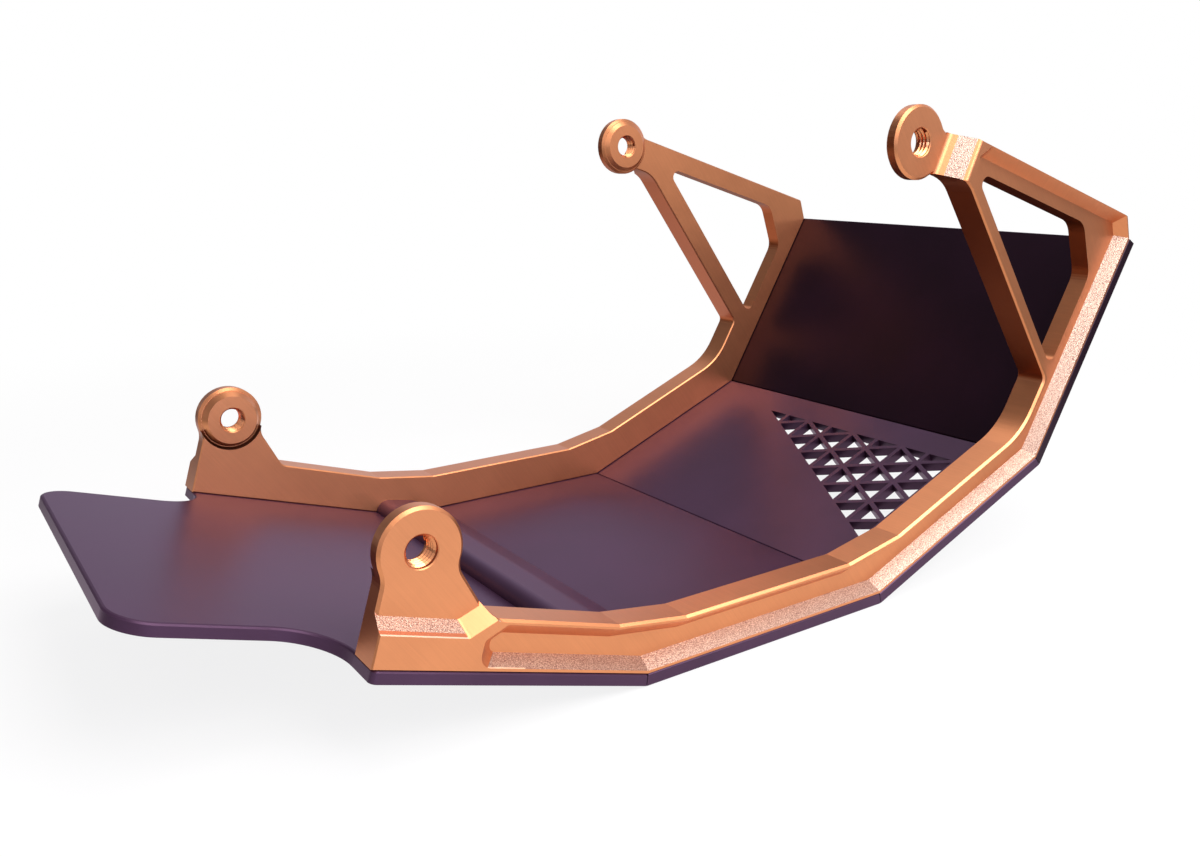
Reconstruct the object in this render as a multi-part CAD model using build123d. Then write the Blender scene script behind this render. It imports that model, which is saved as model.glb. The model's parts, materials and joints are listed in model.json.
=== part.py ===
from build123d import *
import math
import os

# Sizes in millimetres and degrees. The side view is drawn with the rear plate level, as it is bolted
# on: X forward, Z up, zero at the rail ends on the top face of the rear plate, Y across from the middle.

# the four plates
width = 203.0
plate_thick = 4.0
rear_length = 96.0
lower_length = 108.0
grille_length = 98.0
front_length = 100.4
rear_bend = 17.7
lower_bend = 22.1
front_bend = 36.9
joint_gap = 0.3
plate_edge = 0.3

# the tongue of the rear plate
tongue_length = 60.9
tongue_width = 140.4
tongue_corner = 12.5
tongue_fillet = 18.0
tongue_edge = 0.7
shoulder_back = 0.0
shoulder_corner = 2.0

# the side rails
rail_thick = 12.5
rail_height = 16.0
rail_back = 0.5
bend_setback = 13.5
front_bend_radius = 31.0
flank_fillet = 4.0
arm_end_fillet = 1.5
strut_top_fillet = 15.0
strut_end_fillet = 3.5
top_edge = 0.8
inner_edge = 0.5
bottom_edge = 0.3
lip_edge = 0.4

# the pocket milled into the outer side of each rail
pocket_depth = 5.0
pocket_start = 32.6
low_lip = 1.2
low_slope = 3.1
high_lip = 1.5
high_slope = 4.1
start_slope = 4.9
start_cut_height = 9.4
start_cut_slope = 1.4
start_cut_angle = 38.0
tip_lip = 0.9
tip_slope = 2.6
arm_lip = 0.5
arm_slope = 3.4
arm_pocket_start = 22.6
arm_start_slope = 2.0
arm_start_cut = 5.0
strut_lip = 1.5
strut_pocket_slope = 0.3

# the front bracket over the end of the front plate: arm, strut and window
arm_rise = 8.53
arm_height = 15.3
arm_cut_back = 5.9
window_bar = 9.0
strut_start = 20.27
strut_slope = 37.0
strut_width = 9.7
window_front = 8.9
window_cut_top = 17.9
window_cut_low = 19.1
window_top_fillet = 3.0
window_tip_fillet = 3.5
window_cut_fillet = 8.0

# the four lugs and their tapped holes
lug_radius = 13.0
lug_edge = 0.9
rear_lug_x = 9.0
rear_lug_z = 32.4
rear_lug_recess = 5.2
rear_ring_height = -1.3
rear_boss_height = 1.7
rear_flank_foot = 34.3
rear_flank_slope = 45.9
rear_neck_drop = 9.0
rear_neck_fillet = 8.0
rear_flank_fillet = 6.0
front_lug_reach = 130.2
front_lug_drop = 7.4
front_lug_recess = 8.6
front_ring_height = 1.3
front_boss_height = 2.9
arm_top_fillet = 5.0
arm_low_fillet = 3.5
ring_edge = 1.1
boss_radius = 11.7
boss_top_radius = 9.95
thread_radius = 5.0
thread_mouth = 0.3

# the slopes that lead from the outer side down to the lug faces
rear_step_floor = 13.7
rear_step_outer = 9.85
rear_step_turn = 25.2
rear_step_turn_outer = 27.4
rear_step_angle = 36.5
front_step_lap = 0.44
front_step_run = 7.6
front_step_tilt = 8.2
front_step_hollow = 2.6
front_step_brow = 1.6

# the triangular grille
grille_pitch = 14.6
grille_side = 15.5
grille_bar = 2.0
grille_top = 83.0
grille_left = 44.2
grille_right = -80.0
grille_corner = 1.0

# the cross bar over the first bend
bar_rear = 14.0
bar_front = 15.6
bar_height = 5.8
bar_crown = 7.5
bar_nose = 6.4
bar_front_thick = 0.7

# countersunk screws
screw_radius = 2.45
thread_hole_radius = 2.5
shank_hole_radius = 2.75
head_radius = 5.0
head_rim = 0.3
head_sink = 0.2
head_clearance = 0.1
socket_across = 3.0
socket_depth = 1.7
rail_screw_length = 12.0
bar_screw_length = 8.0
screw_inset = 8.5
rear_screw_end = 16.0
lower_screw_end = 22.0
grille_screw_end = 20.0
front_screw_end = 20.0
bar_screw_end = 31.0

half_width = width / 2
rail_inner = half_width - rail_thick
lengths = (rear_length, lower_length, grille_length, front_length)
screw_ends = (rear_screw_end, lower_screw_end, grille_screw_end, front_screw_end)
slopes = (0.0, rear_bend, rear_bend + lower_bend, rear_bend + lower_bend + front_bend)


def along(start, angle, distance):
    """The point at a distance from a start point, in the direction of an angle."""
    a = math.radians(angle)
    return (start[0] + distance * math.cos(a), start[1] + distance * math.sin(a))


def bend_points():
    """The ends and bends of the plates' top face in the side view."""
    points = [(0.0, 0.0)]
    for length, slope in zip(lengths, slopes):
        points.append(along(points[-1], slope, length))
    return points


# the front bracket hangs on the front end of the front plate
plate_end = bend_points()[4]
arm_top = plate_end[1] + arm_rise
arm_low = arm_top - arm_height
front_lug_x = plate_end[0] - front_lug_reach
front_lug_z = arm_top - front_lug_drop


def side_line(start, end, inset=0.0):
    """A line from start to end, moved to its left by the inset, as a point and a direction."""
    dx = end[0] - start[0]
    dz = end[1] - start[1]
    size = math.hypot(dx, dz)
    d = (dx / size, dz / size)
    return (start[0] - d[1] * inset, start[1] + d[0] * inset), d


def sloped_line(point, angle, inset=0.0):
    """A line through a point at an angle, moved to its left by the inset."""
    return side_line(point, along(point, angle, 1.0), inset)


def meet(first, second):
    """Where two lines cross."""
    (ax, az), (adx, adz) = first
    (bx, bz), (bdx, bdz) = second
    t = ((bx - ax) * bdz - (bz - az) * bdx) / (adx * bdz - adz * bdx)
    return (ax + t * adx, az + t * adz)


def plate_line(index, height):
    """The line in the side view at a height above the top face of one plate, running forward."""
    points = bend_points()
    return side_line(points[index], points[index + 1], height)


def rounded_outline(corners):
    """A face from corners (x, y, radius) in order, each corner rounded by its own radius."""
    count = len(corners)
    starts = []
    ends = []
    edges = []
    for i in range(count):
        x, y, radius = corners[i]
        before = corners[i - 1]
        after = corners[(i + 1) % count]
        if radius == 0:
            starts.append((x, y))
            ends.append((x, y))
            continue
        u = Vector(before[0] - x, before[1] - y).normalized()
        v = Vector(after[0] - x, after[1] - y).normalized()
        half = math.radians(u.get_angle(v)) / 2
        reach = radius / math.tan(half)
        middle = (u + v).normalized() * (radius / math.sin(half) - radius)
        starts.append((x + u.X * reach, y + u.Y * reach))
        ends.append((x + v.X * reach, y + v.Y * reach))
        edges.append(ThreePointArc(starts[-1], (x + middle.X, y + middle.Y), ends[-1]))
    for i in range(count):
        edges.append(Line(ends[i], starts[(i + 1) % count]))
    return make_face(edges)


def round_at(sketch, point, radius):
    """The sketch with the corner nearest to a point rounded."""
    corner = sketch.vertices().sort_by_distance(Vector(*point))[0]
    return fillet(corner, radius)


def cut_at(depth):
    """The side-view plane at a depth from the middle, facing out to the right."""
    return Plane.XZ.offset(depth)


def strut_line(inset=0.0):
    """The underside of the strut, moved to its left by the inset."""
    return sloped_line((front_lug_x + strut_start, arm_low), -strut_slope, inset)


def bend_facet(index, height):
    """The two ends of the short facet that cuts the inner corner of the rail at a bend."""
    low = plate_line(index, height)
    high = plate_line(index + 1, height)
    corner = meet(low, high)
    return along(corner, slopes[index] + 180, bend_setback), along(corner, slopes[index + 1], bend_setback)


def rail_corners():
    """Named corners of the rail in the side view."""
    bends = bend_points()
    strut = strut_line()
    top_front = plate_line(3, rail_height)
    top_rear = ((0.0, rail_height), (1.0, 0.0))
    flank = sloped_line((rear_flank_foot, rail_height), 180 - rear_flank_slope)
    return {
        "bends": bends,
        "arm_tip": (plate_end[0] - arm_cut_back, arm_top),
        "strut_top": (front_lug_x + strut_start, arm_low),
        "strut_end": meet(strut, top_front),
        "front_bend": meet(plate_line(2, rail_height), top_front),
        "lower_facet": bend_facet(1, rail_height),
        "rear_facet": bend_facet(0, rail_height),
        "flank_foot": meet(flank, top_rear),
        "flank_top": meet(flank, ((rear_lug_x, 0.0), (0.0, 1.0))),
    }


def inner_bend_radius():
    """The radius of the rail's inner corner at the front bend, as large as the wall up to the strut allows."""
    c = rail_corners()
    wall = math.dist(c["strut_end"], c["front_bend"]) - 2 * strut_end_fillet
    return min(front_bend_radius, wall / math.tan(math.radians(front_bend / 2)))


def rail_face(under=0.0, arm=0.0, strut=0.0, top=0.0):
    """The side view of a rail without its round lugs, its sides moved inwards by their own insets."""
    c = rail_corners()
    bends = c["bends"]
    lines = [
        (side_line((-rail_back, 0.0), bends[1], under), 0),
        (side_line(bends[1], bends[2], under), 0),
        (side_line(bends[2], bends[3], under), 0),
        (side_line(bends[3], bends[4], under), 0),
        (side_line(bends[4], c["arm_tip"], arm), 0),
        (side_line(c["arm_tip"], (0.0, arm_top), arm), arm_end_fillet),
        (sloped_line((front_lug_x, 0.0), 270), 0),
        (sloped_line((0.0, arm_low), 0, strut), 0),
        (side_line(c["strut_top"], c["strut_end"], strut), strut_top_fillet),
        (side_line(c["strut_end"], c["front_bend"], top), strut_end_fillet),
        (side_line(c["front_bend"], c["lower_facet"][1], top), inner_bend_radius() + top),
        (side_line(c["lower_facet"][1], c["lower_facet"][0], top), 0),
        (side_line(c["lower_facet"][0], c["rear_facet"][1], top), 0),
        (side_line(c["rear_facet"][1], c["rear_facet"][0], top), 0),
        (side_line(c["rear_facet"][0], c["flank_foot"], top), 0),
        (side_line(c["flank_foot"], c["flank_top"]), flank_fillet + top),
        (side_line(c["flank_top"], (-rail_back, rear_lug_z)), 0),
        (sloped_line((-rail_back, 0.0), 270, under), 0),
    ]
    return rounded_outline([(*meet(lines[i - 1][0], lines[i][0]), lines[i][1]) for i in range(len(lines))])


def rail_profile():
    """The side view of a rail: the bent bar, the bracket over its front and the two round lugs."""
    profile = rail_face()
    profile += Pos(rear_lug_x, rear_lug_z) * Circle(lug_radius)
    profile += Pos(front_lug_x, front_lug_z) * Circle(lug_radius)
    above = math.sqrt(lug_radius ** 2 - front_lug_drop ** 2)
    below = math.sqrt(lug_radius ** 2 - (arm_height - front_lug_drop) ** 2)
    profile = round_at(profile, (-rail_back, rear_lug_z - rear_neck_drop), rear_neck_fillet)
    profile = round_at(profile, (rear_lug_x + lug_radius, rear_lug_z), rear_flank_fillet)
    profile = round_at(profile, (front_lug_x + above, arm_top), arm_top_fillet)
    profile = round_at(profile, (front_lug_x + below, arm_low), arm_low_fillet)
    return profile


def rail_blank():
    """The rail before its pockets are cut, its outer edges broken all round."""
    body = extrude(cut_at(rail_inner) * rail_profile(), rail_thick - top_edge)
    full = cut_at(half_width - top_edge) * rail_face()
    outer = cut_at(half_width) * rail_face(bottom_edge, lip_edge, lip_edge, top_edge)
    return body + loft([full, outer], ruled=True)


def pocket_face(slope_share, corner_share):
    """The pocket's outline: at its mouth the share is 0, and at its floor 1."""
    c = rail_corners()
    bends = c["bends"]
    tip = c["arm_tip"]
    low = low_lip + slope_share * low_slope
    high = high_lip + slope_share * high_slope
    start = pocket_start + slope_share * start_slope
    arm_start = front_lug_x + arm_pocket_start + slope_share * arm_start_slope
    arm = arm_lip + slope_share * arm_slope
    tip_inset = tip_lip + slope_share * tip_slope
    strut_inset = strut_lip + slope_share * strut_pocket_slope
    start_cut = (start, start_cut_height - slope_share * start_cut_slope)
    arm_cut = meet(sloped_line((0.0, arm_top - arm - arm_start_cut), 0), sloped_line((arm_start, 0.0), 90))
    top_front = side_line(c["strut_end"], c["front_bend"], high)
    top_grille = side_line(c["front_bend"], c["lower_facet"][1], high)
    lower_cut = side_line(c["lower_facet"][1], c["lower_facet"][0], high)
    top_lower = side_line(c["lower_facet"][0], c["rear_facet"][1], high)
    rear_cut = side_line(c["rear_facet"][1], c["rear_facet"][0], high)
    top_rear = side_line(c["rear_facet"][0], c["flank_foot"], high)
    lines = [
        (side_line((0.0, 0.0), bends[1], low), 4.0),
        (side_line(bends[1], bends[2], low), 0),
        (side_line(bends[2], bends[3], low), 0),
        (side_line(bends[3], bends[4], low), 0),
        (side_line(bends[4], tip, tip_inset), 0),
        (side_line(tip, (0.0, arm_top), arm), 1.0),
        (sloped_line(arm_cut, 225), 3.0),
        (sloped_line((arm_start, 0.0), 270, 0), 0),
        (strut_line(strut_inset), 1.0),
        (top_front, 2.0),
        (top_grille, inner_bend_radius()),
        (lower_cut, 0),
        (top_lower, 0),
        (rear_cut, 0),
        (top_rear, 0),
        (sloped_line(start_cut, 180 + start_cut_angle), 2.0),
        (sloped_line((start, 0.0), 270, 0), 2.0),
    ]
    corners = []
    for i in range(len(lines)):
        point = meet(lines[i - 1][0], lines[i][0])
        radius = lines[i][1]
        if i == 10:
            radius = radius + high
        elif radius:
            radius = radius * corner_share
        corners.append((*point, radius))
    return rounded_outline(corners)


def pocket():
    """The pocket to cut, its walls leaning outwards from the floor to the mouth."""
    floor = cut_at(half_width - pocket_depth) * pocket_face(1.0, 0.6)
    mouth = cut_at(half_width) * pocket_face(0.0, 1.0)
    return loft([floor, mouth], ruled=True)


def window():
    """The three-sided window between arm, strut and front plate."""
    top = ((0.0, arm_top - window_bar), (1.0, 0.0))
    strut = strut_line(strut_width)
    front = plate_line(3, window_front)
    front_corner = meet(top, front)
    upper_left = meet(top, strut)
    tip = meet(strut, front)
    corners = [
        (*upper_left, window_top_fillet),
        (*tip, window_tip_fillet),
        (*along(front_corner, slopes[3] + 180, window_cut_low), window_cut_fillet),
        (front_corner[0] - window_cut_top, arm_top - window_bar, window_cut_fillet),
    ]
    return extrude(cut_at(rail_inner - 1) * rounded_outline(corners), rail_thick + 2)


def rear_step():
    """What is cut away above the slope that leads down to the face of the rear lug."""
    def section(share):
        turn = (rear_step_turn + share * (rear_step_turn_outer - rear_step_turn),
                rear_step_floor + share * (rear_step_outer - rear_step_floor))
        end = along(turn, rear_step_angle, 30.0)
        return rounded_outline([(-30.0, turn[1], 0), (*turn, 1.5), (*end, 0), (end[0], 70.0, 0), (-30.0, 70.0, 0)])

    face_depth = half_width - rear_lug_recess
    over = 1 + 1.0 / rear_lug_recess
    return loft([cut_at(face_depth) * section(0.0), cut_at(half_width + 1.0) * section(over)], ruled=True)


def front_step_plane():
    """The plane across the step in front of the front lug: x runs forward over it, y in towards the middle."""
    a = math.radians(front_step_tilt)
    return Plane(origin=(front_lug_x + lug_radius - front_step_lap, front_lug_recess - half_width, front_lug_z),
                 x_dir=(math.cos(a), 0, -math.sin(a)), z_dir=(math.sin(a), 0, math.cos(a)))


def front_recess():
    """What is cut away over the face of the front lug, up to the foot of its step."""
    foot = front_step_hollow * math.tan(math.atan2(front_lug_recess, front_step_run) / 2)
    profile = rounded_outline([(-40.0, 0.0, 0), (-foot, 0.0, 0), (-foot, -front_lug_recess - 2.0, 0),
                               (-40.0, -front_lug_recess - 2.0, 0)])
    return extrude(front_step_plane() * profile, 20.0, both=True)


def front_step():
    """What is cut away in front of the face of the front lug, with a hollow foot and a rounded brow."""
    profile = rounded_outline([
        (-40.0, 0.0, 0),
        (0.0, 0.0, front_step_hollow),
        (front_step_run, -front_lug_recess, front_step_brow),
        (front_step_run + 3.0, -front_lug_recess, 0),
        (front_step_run + 3.0, -front_lug_recess - 2.0, 0),
        (-40.0, -front_lug_recess - 2.0, 0),
    ])
    return extrude(front_step_plane() * profile, 20.0, both=True)


def lug_axis(x, z, depth):
    """The plane across a lug's hole at a depth from the middle, facing out to the right."""
    return Plane(origin=(x, -depth, z), x_dir=(1, 0, 0), z_dir=(0, -1, 0))


def boss(x, z, ring_height, boss_height):
    """The inner end of a lug: a ring with a broken edge, and the flat-topped cone that stands on it."""
    profile = Polyline((0, 2.5), (lug_radius, 2.5), (lug_radius, ring_edge - ring_height),
                       (lug_radius - ring_edge, -ring_height), (boss_radius, -ring_height),
                       (boss_top_radius, -boss_height), (0, -boss_height), close=True)
    return lug_axis(x, z, rail_inner) * revolve(Plane.XZ * make_face(profile), Axis.Z)


def ring_recess(x, z, ring_height):
    """What is cut away round a boss where its ring lies below the inner side of the rail."""
    return extrude(lug_axis(x, z, rail_inner - 1) * Circle(lug_radius), 1 - ring_height + ring_edge)


def tapped_hole(x, z, face_depth, boss_height):
    """A tapped hole through lug and boss, as wide as its thread, its edges broken at both mouths."""
    inner = rail_inner - boss_height
    mouth = thread_radius + thread_mouth
    drill = extrude(lug_axis(x, z, inner - 1) * Circle(thread_radius), face_depth - inner + 2)
    near = lug_axis(x, z, face_depth - thread_mouth / 2) * Cone(thread_radius, mouth, thread_mouth)
    far = lug_axis(x, z, inner + thread_mouth / 2) * Cone(mouth, thread_radius, thread_mouth)
    return drill + near + far


def screw_seat(index, distance, across):
    """The plane on a plate's underside where a screw goes in, facing into the plate."""
    x, z = meet(plate_line(index, -plate_thick), sloped_line(along(bend_points()[index], slopes[index], distance),
                                                            slopes[index] + 90))
    a = math.radians(slopes[index])
    return Plane(origin=(x, across, z), x_dir=(math.cos(a), 0, math.sin(a)), z_dir=(-math.sin(a), 0, math.cos(a)))


def rail_screw_places(index, side):
    """Where the screws of one plate go in on one side: -1 is right, 1 is left."""
    end = screw_ends[index]
    row = [end, lengths[index] - end]
    if index == 0:
        row.insert(1, rear_length / 2)
    return [screw_seat(index, d, side * (half_width - screw_inset)) for d in row]


def bar_screw_places():
    """Where the screws of the cross bar go in, under the rear plate."""
    reach = rail_inner - bar_screw_end
    return [screw_seat(0, rear_length - bar_rear / 2, y) for y in (-reach, 0.0, reach)]


def thread_hole(seat, length):
    """The blind hole for a screw in the piece above the plate."""
    return extrude(seat.offset(plate_thick - 0.5) * Circle(thread_hole_radius), length - plate_thick + 1.0)


def screw_hole(seat):
    """The countersunk hole for a screw in a plate."""
    rim = head_radius + head_clearance
    straight = head_sink + head_rim
    cone = rim - shank_hole_radius
    profile = Polyline((0, -1), (rim, -1), (rim, straight), (shank_hole_radius, straight + cone),
                       (shank_hole_radius, plate_thick + 1), (0, plate_thick + 1), close=True)
    return seat * revolve(Plane.XZ * make_face(profile), Axis.Z)


def screw(length):
    """A countersunk screw with a hexagon socket, its head down and its tip up."""
    cone = head_radius - screw_radius
    profile = Polyline((0, head_sink), (head_radius, head_sink), (head_radius, head_sink + head_rim),
                       (screw_radius, head_sink + head_rim + cone), (screw_radius, length - 0.6),
                       (screw_radius - 0.6, length), (0, length), close=True)
    body = revolve(Plane.XZ * make_face(profile), Axis.Z)
    socket = extrude(Plane.XY.offset(head_sink) * RegularPolygon(socket_across / 2, 6, major_radius=False),
                     socket_depth)
    return body - socket


def screw_group(seats, length):
    """Equal screws at their places, as one group of separate solids."""
    one = screw(length)
    return Compound(children=[seat.location * one for seat in seats])


def lug_rim(rail, x, z, depth, straight_foot):
    """The edges round the face of a lug, without those at the foot of its step."""
    face = rail.faces().filter_by(Axis.Y).sort_by_distance(Vector(x, -depth, z))[0]
    rim = []
    for edge in face.edges():
        middle = edge @ 0.5
        beyond = straight_foot and middle.X > x and edge.geom_type == GeomType.LINE
        below = middle.Z < z - lug_radius - 3.0 and middle.X > x
        if not beyond and not below:
            rim.append(edge)
    return rim


def right_rail():
    """The right side rail, one milled piece of 12.5 mm plate."""
    rail = rail_blank()
    rail = chamfer(rail.faces().sort_by(Axis.Y)[-1].edges(), inner_edge)
    rear_face = half_width - rear_lug_recess
    front_face = half_width - front_lug_recess
    rail -= rear_step()
    rail = chamfer(lug_rim(rail, rear_lug_x, rear_lug_z, rear_face, False), lug_edge)
    rail -= front_recess()
    rail = chamfer(lug_rim(rail, front_lug_x, front_lug_z, front_face, True), lug_edge)
    rail -= front_step()
    rail -= pocket()
    rail -= window()
    rail -= ring_recess(rear_lug_x, rear_lug_z, rear_ring_height)
    rail += boss(rear_lug_x, rear_lug_z, rear_ring_height, rear_boss_height)
    rail += boss(front_lug_x, front_lug_z, front_ring_height, front_boss_height)
    rail -= tapped_hole(rear_lug_x, rear_lug_z, rear_face, rear_boss_height)
    rail -= tapped_hole(front_lug_x, front_lug_z, front_face, front_boss_height)
    for index in range(4):
        for seat in rail_screw_places(index, -1):
            rail -= thread_hole(seat, rail_screw_length)
    return rail


def plate_blank(index, back=0.0):
    """A plate across the full width, its ends mitred to its neighbours with a small gap."""
    bends = bend_points()
    angle = slopes[index]
    top = plate_line(index, 0.0)
    under = plate_line(index, -plate_thick)
    if index == 0:
        rear_end = sloped_line((-back, 0.0), 90)
    else:
        rear_end = sloped_line(bends[index], (slopes[index - 1] + angle) / 2 + 90, -joint_gap / 2)
    if index == 3:
        front_end = sloped_line(bends[4], angle + 90)
    else:
        front_end = sloped_line(bends[index + 1], (angle + slopes[index + 1]) / 2 + 90, joint_gap / 2)
    corners = [meet(under, rear_end), meet(under, front_end), meet(top, front_end), meet(top, rear_end)]
    face = rounded_outline([(*p, 0) for p in corners])
    return extrude(cut_at(0) * face, half_width, both=True)


def top_face(plate, index):
    """The top face of a plate."""
    a = math.radians(slopes[index])
    up = Vector(-math.sin(a), 0, math.cos(a))
    flat = [f for f in plate.faces() if f.normal_at().dot(up) > 0.99]
    return sorted(flat, key=lambda f: f.area)[-1]


def drilled(plate, index):
    """The plate with its countersunk holes for the rail screws."""
    for side in (-1, 1):
        for seat in rail_screw_places(index, side):
            plate -= screw_hole(seat)
    return plate


def rear_plate():
    """The rear plate with its narrower tongue."""
    half_tongue = tongue_width / 2
    plan = rounded_outline([
        (-tongue_length, -half_tongue, tongue_corner),
        (-shoulder_back, -half_tongue, tongue_fillet),
        (-shoulder_back, -half_width, shoulder_corner),
        (rear_length + 10, -half_width, 0),
        (rear_length + 10, half_width, 0),
        (-shoulder_back, half_width, shoulder_corner),
        (-shoulder_back, half_tongue, tongue_fillet),
        (-tongue_length, half_tongue, tongue_corner),
    ])
    plate = plate_blank(0, tongue_length) & extrude(Plane.XY.offset(-plate_thick - 1) * plan, plate_thick + 2)
    behind = [e for e in top_face(plate, 0).edges() if (e @ 0.5).X < -shoulder_back - 0.5]
    plate = chamfer(behind, tongue_edge)
    rest = [e for e in top_face(plate, 0).edges() if (e @ 0.5).X > -shoulder_back - 0.5]
    plate = chamfer(rest, plate_edge)
    for seat in bar_screw_places():
        plate -= screw_hole(seat)
    return drilled(plate, 0)


def plain_plate(index):
    """The lower and the front plate, with nothing cut but the screw holes."""
    plate = plate_blank(index)
    plate = chamfer(top_face(plate, index).edges(), plate_edge)
    return drilled(plate, index)


def grille_openings():
    """The rounded triangles between the bars of the grille, u along the plate and y across."""
    rise = grille_side / 2
    steps = (grille_left - grille_right) / grille_pitch
    low = grille_top - steps * rise
    area = rounded_outline([(grille_top, grille_left, 0), (low, grille_right, 0), (grille_top, grille_right, 0)])
    tilt = math.degrees(math.atan2(grille_pitch, rise))
    columns = int(steps) + 2
    bars = Sketch()
    for i in range(columns):
        y = grille_left - i * grille_pitch
        bars += Pos(grille_top, y) * Rectangle(400, grille_bar)
    for i in range(-columns, 2 * columns):
        start = Pos(grille_top - i * grille_side, grille_left)
        bars += start * Rot(0, 0, tilt) * Rectangle(600, grille_bar)
        bars += start * Rot(0, 0, -tilt) * Rectangle(600, grille_bar)
    holes = Sketch()
    for face in (area - bars).faces():
        if face.area > 12:
            holes += fillet(face.vertices(), grille_corner)
    return holes


def grille_plate():
    """The upper plate with the triangular grille towards its right side."""
    plate = plate_blank(2)
    plate = chamfer(top_face(plate, 2).edges(), plate_edge)
    a = math.radians(slopes[2])
    x, z = bend_points()[2]
    face = Plane(origin=(x, 0, z), x_dir=(math.cos(a), 0, math.sin(a)), z_dir=(-math.sin(a), 0, math.cos(a)))
    holes = face.offset(-plate_thick - 1) * grille_openings()
    plate -= extrude(holes, plate_thick + 2)
    return drilled(plate, 2)


def cross_bar():
    """The bar across the first bend, rounded at the rear and running out on the lower plate."""
    bend = bend_points()[1]
    rear = bend[0] - bar_rear
    front = along(bend, rear_bend, bar_front / math.cos(math.radians(rear_bend)))
    front_top = along(front, rear_bend + 90, bar_front_thick)
    profile = rounded_outline([
        (rear, 0.0, 0),
        (*bend, 0),
        (*front, 0),
        (*front_top, 0),
        (bend[0] + 2.0, bar_crown, 14.0),
        (rear, bar_height, bar_nose - 0.8),
    ])
    bar = extrude(cut_at(0) * profile, rail_inner, both=True)
    for seat in bar_screw_places():
        bar -= thread_hole(seat, bar_screw_length)
    return bar


def stand(piece):
    """Turns a piece so that the lower plate lies flat on the ground, and moves the first bend to zero."""
    place = Pos(0, 0, plate_thick) * Rot(0, rear_bend, 0) * Pos(-rear_length, 0, 0)
    solids = [place * solid for solid in piece.solids()]
    return solids[0] if len(solids) == 1 else Compound(solids)


rail = right_rail()
pieces = {
    "right_rail": rail,
    "left_rail": mirror(rail, Plane.XZ),
    "rear_plate": rear_plate(),
    "lower_plate": plain_plate(1),
    "grille_plate": grille_plate(),
    "front_plate": plain_plate(3),
    "cross_bar": cross_bar(),
    "cross_bar_screws": screw_group(bar_screw_places(), bar_screw_length),
}
plate_names = ("rear_plate", "lower_plate", "grille_plate", "front_plate")
for index, plate_name in enumerate(plate_names):
    for side, side_name in ((-1, "right"), (1, "left")):
        seats = rail_screw_places(index, side)
        pieces[plate_name + "_screws_" + side_name] = screw_group(seats, rail_screw_length)

os.makedirs("parts", exist_ok=True)
for name, piece in pieces.items():
    export_step(stand(piece), "parts/" + name + ".step")
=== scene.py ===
import json
import math

import bmesh
import bpy
from mathutils import Matrix, Vector


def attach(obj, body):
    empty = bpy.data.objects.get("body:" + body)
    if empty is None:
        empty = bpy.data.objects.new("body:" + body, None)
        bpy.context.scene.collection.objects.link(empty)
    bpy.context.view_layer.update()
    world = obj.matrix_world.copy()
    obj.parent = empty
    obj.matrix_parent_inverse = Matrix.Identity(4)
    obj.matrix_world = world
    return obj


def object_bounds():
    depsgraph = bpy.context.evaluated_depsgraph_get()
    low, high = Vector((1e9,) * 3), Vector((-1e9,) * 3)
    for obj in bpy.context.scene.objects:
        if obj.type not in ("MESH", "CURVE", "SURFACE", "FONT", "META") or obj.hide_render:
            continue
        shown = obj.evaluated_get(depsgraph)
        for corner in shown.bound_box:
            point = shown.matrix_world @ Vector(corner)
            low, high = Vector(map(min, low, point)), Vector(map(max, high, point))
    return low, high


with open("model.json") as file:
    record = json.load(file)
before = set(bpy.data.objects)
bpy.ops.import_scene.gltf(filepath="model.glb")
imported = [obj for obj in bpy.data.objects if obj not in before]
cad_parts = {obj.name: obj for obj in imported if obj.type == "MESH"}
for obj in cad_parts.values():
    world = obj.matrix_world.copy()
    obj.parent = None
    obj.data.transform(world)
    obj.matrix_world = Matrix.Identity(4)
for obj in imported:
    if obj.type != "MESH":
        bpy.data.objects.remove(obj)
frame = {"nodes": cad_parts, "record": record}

cad_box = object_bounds()

# The camera of the photograph, found by fitting the part's corners to it.
# It stands to the right of the tongue and looks forward across the part.
eye = Vector((-0.184957, -0.353181, 0.168729))
to_right = Vector((0.829138, -0.558795, -0.016675))
to_top = Vector((0.156675, 0.203635, 0.966429))
to_back = to_right.cross(to_top)
lens = bpy.data.cameras.new("photo_camera")
lens.sensor_width = 36.0
lens.lens = 32.109
lens.clip_start = 0.01
camera = bpy.data.objects.new("photo_camera", lens)
camera.matrix_world = Matrix.Translation(eye) @ Matrix((to_right, to_top, to_back)).transposed().to_4x4()
bpy.context.collection.objects.link(camera)
bpy.context.scene.camera = camera
bpy.context.scene.view_settings.view_transform = "Standard"


# The world is a studio that the camera sees white throughout. The metal sees
# a low white wall at the back, cool grey above it and darkness at the back
# left. It isn't sampled as a lamp, so that each kind of ray sees its own part.
def plug(tree, value, socket):
    """Feeds a socket with another node's output, or sets it to a plain value."""
    if isinstance(value, bpy.types.NodeSocket):
        tree.links.new(value, socket)
    else:
        socket.default_value = value


def feed(tree, node, **sockets):
    """Plugs values into a node's sockets by name, spaces written as underscores."""
    for name, value in sockets.items():
        plug(tree, value, node.inputs[name.replace("_", " ")])


def add(tree, kind, **sockets):
    """A new shader node with its sockets fed by name."""
    made = tree.nodes.new(kind)
    feed(tree, made, **sockets)
    return made


def maths(tree, operation, first, second):
    """The result of a Math node, each side of it an output or a number."""
    made = add(tree, "ShaderNodeMath")
    made.operation = operation
    plug(tree, first, made.inputs[0])
    plug(tree, second, made.inputs[1])
    return made.outputs[0]


def vector_maths(tree, operation, first, second):
    """The number that a Vector Math node makes of two vectors."""
    made = add(tree, "ShaderNodeVectorMath")
    made.operation = operation
    plug(tree, first, made.inputs[0])
    plug(tree, second, made.inputs[1])
    return made.outputs["Value"]


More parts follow.
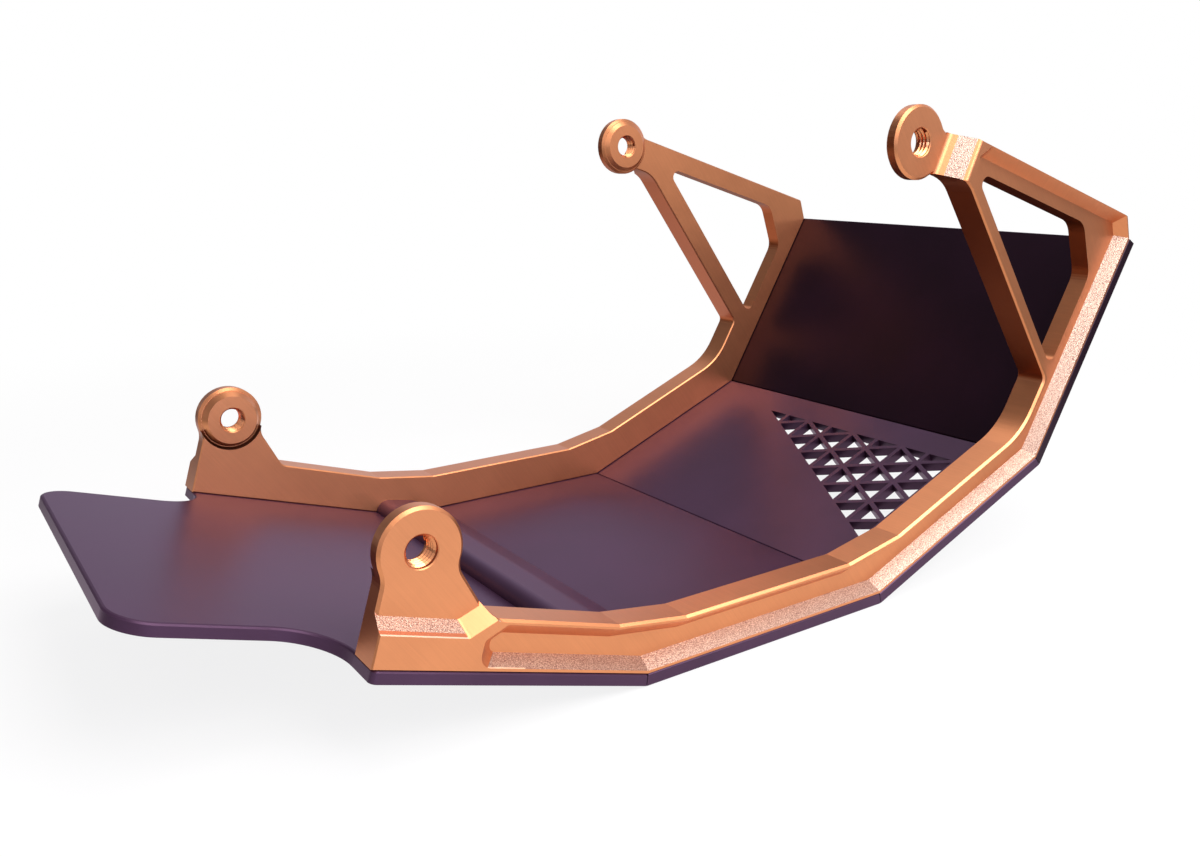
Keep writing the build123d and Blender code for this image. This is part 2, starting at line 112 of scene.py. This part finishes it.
def ramp(tree, value, start, end, low, high, way="SMOOTHSTEP"):
    """A value that runs from low at start to high at end, and no further."""
    made = add(tree, "ShaderNodeMapRange")
    made.interpolation_type = way
    for name, number in zip(("From Min", "From Max", "To Min", "To Max"), (start, end, low, high)):
        made.inputs[name].default_value = number
    plug(tree, value, made.inputs["Value"])
    return made.outputs["Result"]


def mixed(tree, share, first, second, blend="MIX"):
    """Two colours mixed, each of them an output or a plain colour."""
    made = add(tree, "ShaderNodeMix")
    made.data_type = "RGBA"
    made.blend_type = blend
    plug(tree, share, made.inputs["Factor"])
    plug(tree, first, made.inputs[6])
    plug(tree, second, made.inputs[7])
    return made.outputs[2]


def mixed_shaders(tree, share, first, second):
    """Two shader nodes mixed by a share of the second."""
    made = add(tree, "ShaderNodeMixShader", Fac=share)
    plug(tree, first.outputs[0], made.inputs[1])
    plug(tree, second.outputs[0], made.inputs[2])
    return made.outputs[0]


plain_white = (1, 1, 1, 1)
cool_grey = (0.92, 0.93, 1.08, 1)
shade_grey = (0.96, 0.95, 1.0, 1)
straight_back = (0.5, 0.87, 0)
back_left = (-0.62, 0.76, 0.2)
world = bpy.data.worlds.new("studio")
bpy.context.scene.world = world
world.use_nodes = True
world.cycles.sampling_method = "NONE"
tree = world.node_tree
tree.nodes.clear()
rays = add(tree, "ShaderNodeLightPath").outputs
straight = maths(tree, "MAXIMUM", rays["Is Camera Ray"], rays["Is Transmission Ray"])
seen = maths(tree, "MAXIMUM", straight, rays["Is Glossy Ray"])
direction = add(tree, "ShaderNodeTexCoord").outputs["Generated"]
rise = add(tree, "ShaderNodeSeparateXYZ", Vector=direction).outputs["Z"]
to_wall = vector_maths(tree, "DOT_PRODUCT", direction, straight_back)
to_dark = vector_maths(tree, "DOT_PRODUCT", direction, back_left)
wall = maths(
    tree, "MULTIPLY", ramp(tree, rise, start=0.02, end=0.12, low=1.0, high=0.0),
    ramp(tree, to_wall, start=0.3, end=0.8, low=0.0, high=1.0))
dim = maths(
    tree, "MULTIPLY", ramp(tree, to_dark, start=0.45, end=0.95, low=0.88, high=0.22),
    ramp(tree, rise, start=0.25, end=0.70, low=1.0, high=0.5))
tone = mixed(tree, maths(tree, "MAXIMUM", straight, wall), cool_grey, plain_white)
level = maths(tree, "MAXIMUM", straight, maths(tree, "MAXIMUM", wall, dim))
mirrored = add(tree, "ShaderNodeBackground", Color=tone, Strength=level)
ambient = add(tree, "ShaderNodeBackground", Color=shade_grey, Strength=0.4)
add(tree, "ShaderNodeOutputWorld", Surface=mixed_shaders(tree, seen, ambient, mirrored))

# The floor is a plain pale board that the lower plate lies on. It turns fully
# white away from the part, so that it meets the world without a line, while
# the metal sees it darken further out.
board_reach = 6.0
board_gap = 0.0004
board_grey = (0.82, 0.80, 0.80, 1)
floor_mesh = bpy.data.meshes.new("floor")
bm = bmesh.new()
bmesh.ops.create_grid(bm, x_segments=1, y_segments=1, size=board_reach)
bmesh.ops.translate(bm, verts=bm.verts, vec=(0, 0, -board_gap))
bm.to_mesh(floor_mesh)
bm.free()
floor = bpy.data.objects.new("floor", floor_mesh)
bpy.context.collection.objects.link(floor)
pale = bpy.data.materials.new("pale_floor")
pale.use_nodes = True
pale.cycles.emission_sampling = "NONE"
tree = pale.node_tree
tree.nodes.clear()
rays = add(tree, "ShaderNodeLightPath").outputs
seen = maths(tree, "MAXIMUM", rays["Is Camera Ray"], rays["Is Glossy Ray"])
place = add(tree, "ShaderNodeTexCoord").outputs["Object"]
away = vector_maths(tree, "LENGTH", place, (0, 0, 0))
share = maths(tree, "MULTIPLY", seen, ramp(tree, away, start=0.22, end=0.70, low=0.84, high=1.0))
darkening = ramp(tree, away, start=0.24, end=0.60, low=1.0, high=0.08)
strength = maths(tree, "MAXIMUM", rays["Is Camera Ray"], darkening)
board = add(tree, "ShaderNodeBsdfDiffuse", Color=board_grey)
glow = add(tree, "ShaderNodeEmission", Color=plain_white, Strength=strength)
add(tree, "ShaderNodeOutputMaterial", Surface=mixed_shaders(tree, share, board, glow))
floor_mesh.materials.append(pale)


# Soft boxes light the near rail: a large one, a high one over it and a cooler
# strip low in front. Two weak ones stand by the tongue and above the far rail.
def soft_box(name, azimuth, elevation, distance, wide, high, watts, colour=(1, 1, 1)):
    """An area lamp that looks at the middle of the part."""
    middle = Vector((0.05, 0.0, 0.06))
    a = math.radians(azimuth)
    e = math.radians(elevation)
    away = Vector((math.cos(a) * math.cos(e), math.sin(a) * math.cos(e), math.sin(e)))
    lamp = bpy.data.lights.new(name, "AREA")
    lamp.shape = "RECTANGLE"
    lamp.size = wide
    lamp.size_y = high
    lamp.energy = watts
    lamp.color = colour
    holder = bpy.data.objects.new(name, lamp)
    holder.location = middle + away * distance
    holder.rotation_euler = away.to_track_quat("Z", "Y").to_euler()
    bpy.context.collection.objects.link(holder)


cool = (0.78, 1.00, 1.50)
soft_box("front_box", azimuth=-72, elevation=42, distance=1.1, wide=0.9, high=0.5, watts=12.0)
soft_box("high_front", azimuth=-72, elevation=72, distance=1.2, wide=0.7, high=0.5, watts=6.0)
soft_box("low_front", azimuth=-93, elevation=7, distance=1.2, wide=0.7, high=0.3, watts=3.4, colour=cool)
soft_box("left_box", azimuth=-118, elevation=36, distance=1.1, wide=0.7, high=0.5, watts=1.5)
soft_box("top_box", azimuth=60, elevation=60, distance=1.3, wide=0.8, high=0.6, watts=1.6)


# The side rails are milled aluminium, blasted and dyed copper when anodised.
# The tool left a coarser grain on the sloped walls and steps, its light
# colour partly painted glints. Painted shade darkens the side walls that don't
# face up; the rear steps and the grooves round the rear bosses carry painted light.
def noise(tree, place, scale, detail, roughness):
    """The grey value of a noise texture."""
    made = add(tree, "ShaderNodeTexNoise", Vector=place, Scale=scale, Detail=detail, Roughness=roughness)
    return made.outputs["Fac"]


def tones(tree, value, low, high, start=0.3, end=0.7):
    """A colour that runs from low at start to high at end."""
    made = add(tree, "ShaderNodeValToRGB", Fac=value)
    for stop, position, colour in zip(made.color_ramp.elements, (start, end), (low, high)):
        stop.position = position
        stop.color = colour
    return made.outputs["Color"]


def bumped(tree, height, distance):
    """The surface's direction with a height bumped into it."""
    return add(tree, "ShaderNodeBump", Strength=1.0, Distance=distance, Height=height).outputs["Normal"]


def dress(names, paint):
    """Gives the named CAD nodes a material in place of their plain one."""
    for name in names:
        for place in frame["nodes"][name].material_slots:
            place.material = paint


half_width = cad_box[1][1]
mounts = {mount["name"]: mount for mount in frame["record"]["mounts"]}
rear_lug = Vector(mounts["rear_lug_right"]["pos_m"])
rear_step_end = -0.045
rear_step_foot = 0.034
pocket_lean = (0.505, 0.615)
front_step_lean = (0.64, 0.68)
front_step_depths = (0.0012, 0.0063)
grain_depth = 0.0070
reflection_band_depth = 0.0014
edge_depth = 0.0004
groove_depth = 0.0100
groove_radii = (0.0112, 0.0136)
groove_fade = (-0.0063, -0.0003)
stroke_angle = math.radians(55)
stroke_size = (0.02, 0.02, 0.0006)
dye_colours = (0.67, 0.252, 0.104, 1), (0.76, 0.290, 0.120, 1)
# Grain colours: the light one is partly a painted glint.
grain_and_glint_colours = (0.24, 0.120, 0.095, 1), (0.68, 0.490, 0.375, 1)
# Painted reflection: a red band at the rear step's foot, for a facet that isn't modelled.
facet_reflection_paint = (0.62, 0.19, 0.09, 1)
# Painted highlight along the rear step's outer edge.
edge_highlight_paint = (0.95, 0.66, 0.46, 1)
# Painted shade for the groove round the rear bosses.
groove_shade_paint = (0.27, 0.125, 0.075, 1)
# Painted shade for the side walls that don't face up.
side_wall_shade_paint = (0.56, 0.33, 0.19, 1)


def blasted_grain():
    """A node group: the grain's height, the dye's tint, and a mask for each kind of surface.

    The coarse grain lies on the walls that face up: the pockets' lower walls
    and the steps below the lugs; its light colour is partly painted glints. Their
    share of the normal along Y tells them from the rims' edges, which lean by half
    a right angle. Depths are counted inwards from the rails' outer faces. The rear
    step's lower end gets a red painted reflection, standing for a narrow facet that
    isn't modelled, and a painted highlight along its edge. Painted shade darkens
    the groove round the rear bosses below their middle, and the side walls that
    don't face up.
    """
    group = bpy.data.node_groups.new("blasted_grain", "ShaderNodeTree")

    def above(value, limit):
        return maths(group, "GREATER_THAN", value, limit)

    def below(value, limit):
        return maths(group, "LESS_THAN", value, limit)

    def times(*factors):
        result = factors[0]
        for factor in factors[1:]:
            result = maths(group, "MULTIPLY", result, factor)
        return result

    def between(value, limits):
        return times(above(value, limits[0]), below(value, limits[1]))

    def blended(share, first, second):
        made = add(group, "ShaderNodeMix")
        made.data_type = "FLOAT"
        plug(group, share, made.inputs["Factor"])
        plug(group, first, made.inputs[2])
        plug(group, second, made.inputs[3])
        return made.outputs[0]

    place = add(group, "ShaderNodeTexCoord").outputs["Object"]
    where = add(group, "ShaderNodeSeparateXYZ", Vector=place).outputs
    depth = maths(group, "SUBTRACT", half_width, maths(group, "ABSOLUTE", where["Y"], 0))
    facing = add(group, "ShaderNodeNewGeometry").outputs["True Normal"]
    lean = add(group, "ShaderNodeSeparateXYZ", Vector=facing).outputs
    across = maths(group, "ABSOLUTE", lean["Y"], 0)

    wall = between(across, pocket_lean)
    brow = times(between(across, front_step_lean), below(lean["X"], -0.6), between(depth, front_step_depths))
    slope = times(maths(group, "MAXIMUM", wall, brow), above(lean["Z"], 0.15), below(depth, grain_depth))
    by_rear_lug = below(where["X"], rear_step_end)
    # Where the painted highlight goes: the outermost band of the rear step.
    edge = times(slope, below(depth, edge_depth), by_rear_lug)
    # Where the painted reflection goes: the rear step's lowest band, by the outer face.
    foot = times(by_rear_lug, below(depth, reflection_band_depth), above(where["Z"], rear_step_foot))
    coarse = times(slope, maths(group, "SUBTRACT", 1, foot))

    flat_place = add(group, "ShaderNodeCombineXYZ", X=where["X"], Z=where["Z"]).outputs[0]
    ring = vector_maths(group, "DISTANCE", flat_place, (rear_lug.x, 0, rear_lug.z))
    fade_start, fade_end = (rear_lug.z + drop for drop in groove_fade)
    underneath = ramp(group, where["Z"], fade_start, fade_end, 1.0, 0.0, "LINEAR")
    # Painted shade: the groove round the rear bosses, darker below their middle.
    groove = times(between(ring, groove_radii), underneath, above(depth, groove_depth), below(across, 0.985))
    # Painted shade: side walls, more where they face sideways or down.
    side_shade = times(below(across, 0.3), ramp(group, lean["Z"], 0.05, 0.45, 1.0, 0.0, "LINEAR"))

    fine = noise(group, place, scale=2600.0, detail=2.0, roughness=0.6)
    cloud = noise(group, place, scale=55.0, detail=3.0, roughness=0.55)
    grit = noise(group, place, scale=2600.0, detail=2.0, roughness=0.8)
    turned = add(group, "ShaderNodeMapping", Vector=place, Rotation=(0, stroke_angle, 0), Scale=stroke_size)
    turned.vector_type = "TEXTURE"
    strokes = noise(group, turned.outputs["Vector"], scale=1.0, detail=2.0, roughness=0.5)
    texture = blended(coarse, blended(0.5, fine, strokes), grit)
    gain = ramp(group, coarse, 0.0, 1.0, 0.2, 1.0, "LINEAR")
    swing = times(maths(group, "SUBTRACT", texture, 0.5), gain)

    given = {
        "Height": maths(group, "ADD", swing, 0.5),
        "Tint": maths(group, "ADD", times(cloud, 0.6), times(strokes, 0.4)),
        "Slope": coarse,
        # Painted glints: bright grains scattered over the coarse walls.
        "PaintedGlint": times(ramp(group, grit, 0.38, 0.62, 0.0, 1.0, "LINEAR"), coarse),
        "PaintedReflection": times(slope, foot),
        "Edge": edge,
        "PaintedGrooveShade": groove,
        "PaintedSideShade": side_shade,
    }
    for name in given:
        group.interface.new_socket(name, in_out="OUTPUT", socket_type="NodeSocketFloat")
    feed(group, group.nodes.new("NodeGroupOutput"), **given)
    return group


def copper_metal(name, roughness):
    """Copper-dyed anodised aluminium with a clear sealed skin."""
    metal = bpy.data.materials.new(name)
    metal.use_nodes = True
    tree = metal.node_tree
    grain_node = tree.nodes.new("ShaderNodeGroup")
    grain_node.node_tree = bpy.data.node_groups.get("blasted_grain") or blasted_grain()
    grain = grain_node.outputs
    plain = tones(tree, grain["Tint"], *dye_colours)
    # Painted glints: the coarse walls mix a dark grain colour with a light one.
    paint = mixed(tree, grain["Slope"], plain, mixed(tree, grain["PaintedGlint"], *grain_and_glint_colours))
    # Painted reflection in red at the rear step's foot.
    paint = mixed(tree, grain["PaintedReflection"], paint, facet_reflection_paint)
    # Painted highlight on the rear step's outer edge.
    paint = mixed(tree, grain["Edge"], paint, edge_highlight_paint)
    # Painted shade in the lower part of the boss grooves.
    paint = mixed(tree, grain["PaintedGrooveShade"], paint, groove_shade_paint)
    # Painted shade multiplied onto the side walls that don't face up.
    paint = mixed(tree, grain["PaintedSideShade"], paint, side_wall_shade_paint, "MULTIPLY")
    feed(
        tree, tree.nodes["Principled BSDF"], Metallic=1.0, Coat_Weight=0.2, Coat_Roughness=0.35,
        Base_Color=paint, Normal=bumped(tree, grain["Height"], distance=0.00015),
        Roughness=ramp(tree, grain["Tint"], 0.0, 1.0, roughness, roughness + 0.04, "LINEAR"))
    return metal


dress(("right_rail", "left_rail"), copper_metal("copper_anodised", roughness=0.38))


# The four lugs are tapped for M10 screws, straight into the rails' metal.
# Each thread is one ridge of 1.5 mm pitch that winds along the hole's wall.
thread_pitch = 0.0015
thread_crest = 0.00430
thread_root_gap = 0.00004
thread_foot_share = 0.44
thread_crest_share = 0.07
steps_a_turn = 30
bright_copper = copper_metal("copper_threads", roughness=0.22)


def thread_ridge(name, mount):
    """A right-handed ridge from the hole's wall inwards, made in a spin that climbs."""
    root = mount["dims"]["r_mm"] / 1000 + thread_root_gap
    run = mount["dims"]["length_mm"] / 1000 - thread_pitch
    axis = Vector(mount["axis"])
    middle = Vector(mount["pos_m"])
    out = Vector((1, 0, 0))
    start = middle - axis * run / 2
    foot = axis * thread_pitch * thread_foot_share
    tip = axis * thread_pitch * thread_crest_share
    section = (
        start + out * root - foot, start + out * thread_crest - tip,
        start + out * thread_crest + tip, start + out * root + foot)
    bm = bmesh.new()
    corners = [bm.verts.new(point) for point in section]
    first = bm.faces.new(corners)
    turns = run / thread_pitch
    steps = round(turns * steps_a_turn)
    bmesh.ops.spin(
        bm, geom=[first] + list(first.edges) + corners, cent=middle, axis=axis, dvec=axis * run / steps,
        angle=turns * 2 * math.pi, steps=steps, use_duplicate=False)
    bmesh.ops.recalc_face_normals(bm, faces=bm.faces)
    mesh = bpy.data.meshes.new(name)
    bm.to_mesh(mesh)
    bm.free()
    ridge = bpy.data.objects.new(name, mesh)
    bpy.context.collection.objects.link(ridge)
    mesh.materials.append(bright_copper)
    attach(ridge, "root")


for name, mount in mounts.items():
    if mount["kind"] == "threaded_hole":
        thread_ridge(name + "_thread", mount)


# The four plates and the cross bar are aluminium with a matt, almost black
# violet skin, smooth enough to mirror the rails softly. The front plate's is
# the darkest.
def violet_skin(name, low, high):
    """Hard anodised plate, its colour drifting between two dark tones."""
    skin = bpy.data.materials.new(name)
    skin.use_nodes = True
    tree = skin.node_tree
    place = add(tree, "ShaderNodeTexCoord").outputs["Object"]
    cloud = noise(tree, place, scale=30.0, detail=3.0, roughness=0.5)
    fine = noise(tree, place, scale=3800.0, detail=2.0, roughness=0.6)
    feed(
        tree, tree.nodes["Principled BSDF"], Metallic=0.4, IOR=1.46, Specular_Tint=(1.0, 0.70, 0.96, 1),
        Base_Color=tones(tree, cloud, low, high),
        Roughness=ramp(tree, cloud, 0.0, 1.0, 0.34, 0.40, "LINEAR"),
        Normal=bumped(tree, fine, distance=0.00001))
    return skin


violet = violet_skin("violet_skin", (0.042, 0.018, 0.038, 1), (0.054, 0.023, 0.049, 1))
black_violet = violet_skin("black_violet_skin", (0.008, 0.0015, 0.004, 1), (0.012, 0.002, 0.007, 1))
dress(("rear_plate", "lower_plate", "grille_plate", "cross_bar"), violet)
dress(("front_plate",), black_violet)

# The countersunk screws hold the plates to the rails and the cross bar to the
# lower plate. They are dark turned steel with a fine grain.
steel = bpy.data.materials.new("dark_steel")
steel.use_nodes = True
tree = steel.node_tree
place = add(tree, "ShaderNodeTexCoord").outputs["Object"]
fine = noise(tree, place, scale=1500.0, detail=3.0, roughness=0.6)
feed(
    tree, tree.nodes["Principled BSDF"], Metallic=1.0,
    Base_Color=tones(tree, fine, (0.05, 0.05, 0.055, 1), (0.11, 0.11, 0.12, 1), start=0.0, end=1.0),
    Roughness=ramp(tree, fine, 0.0, 1.0, 0.28, 0.42, "LINEAR"))
dress([name for name in frame["nodes"] if "screws" in name], steel)
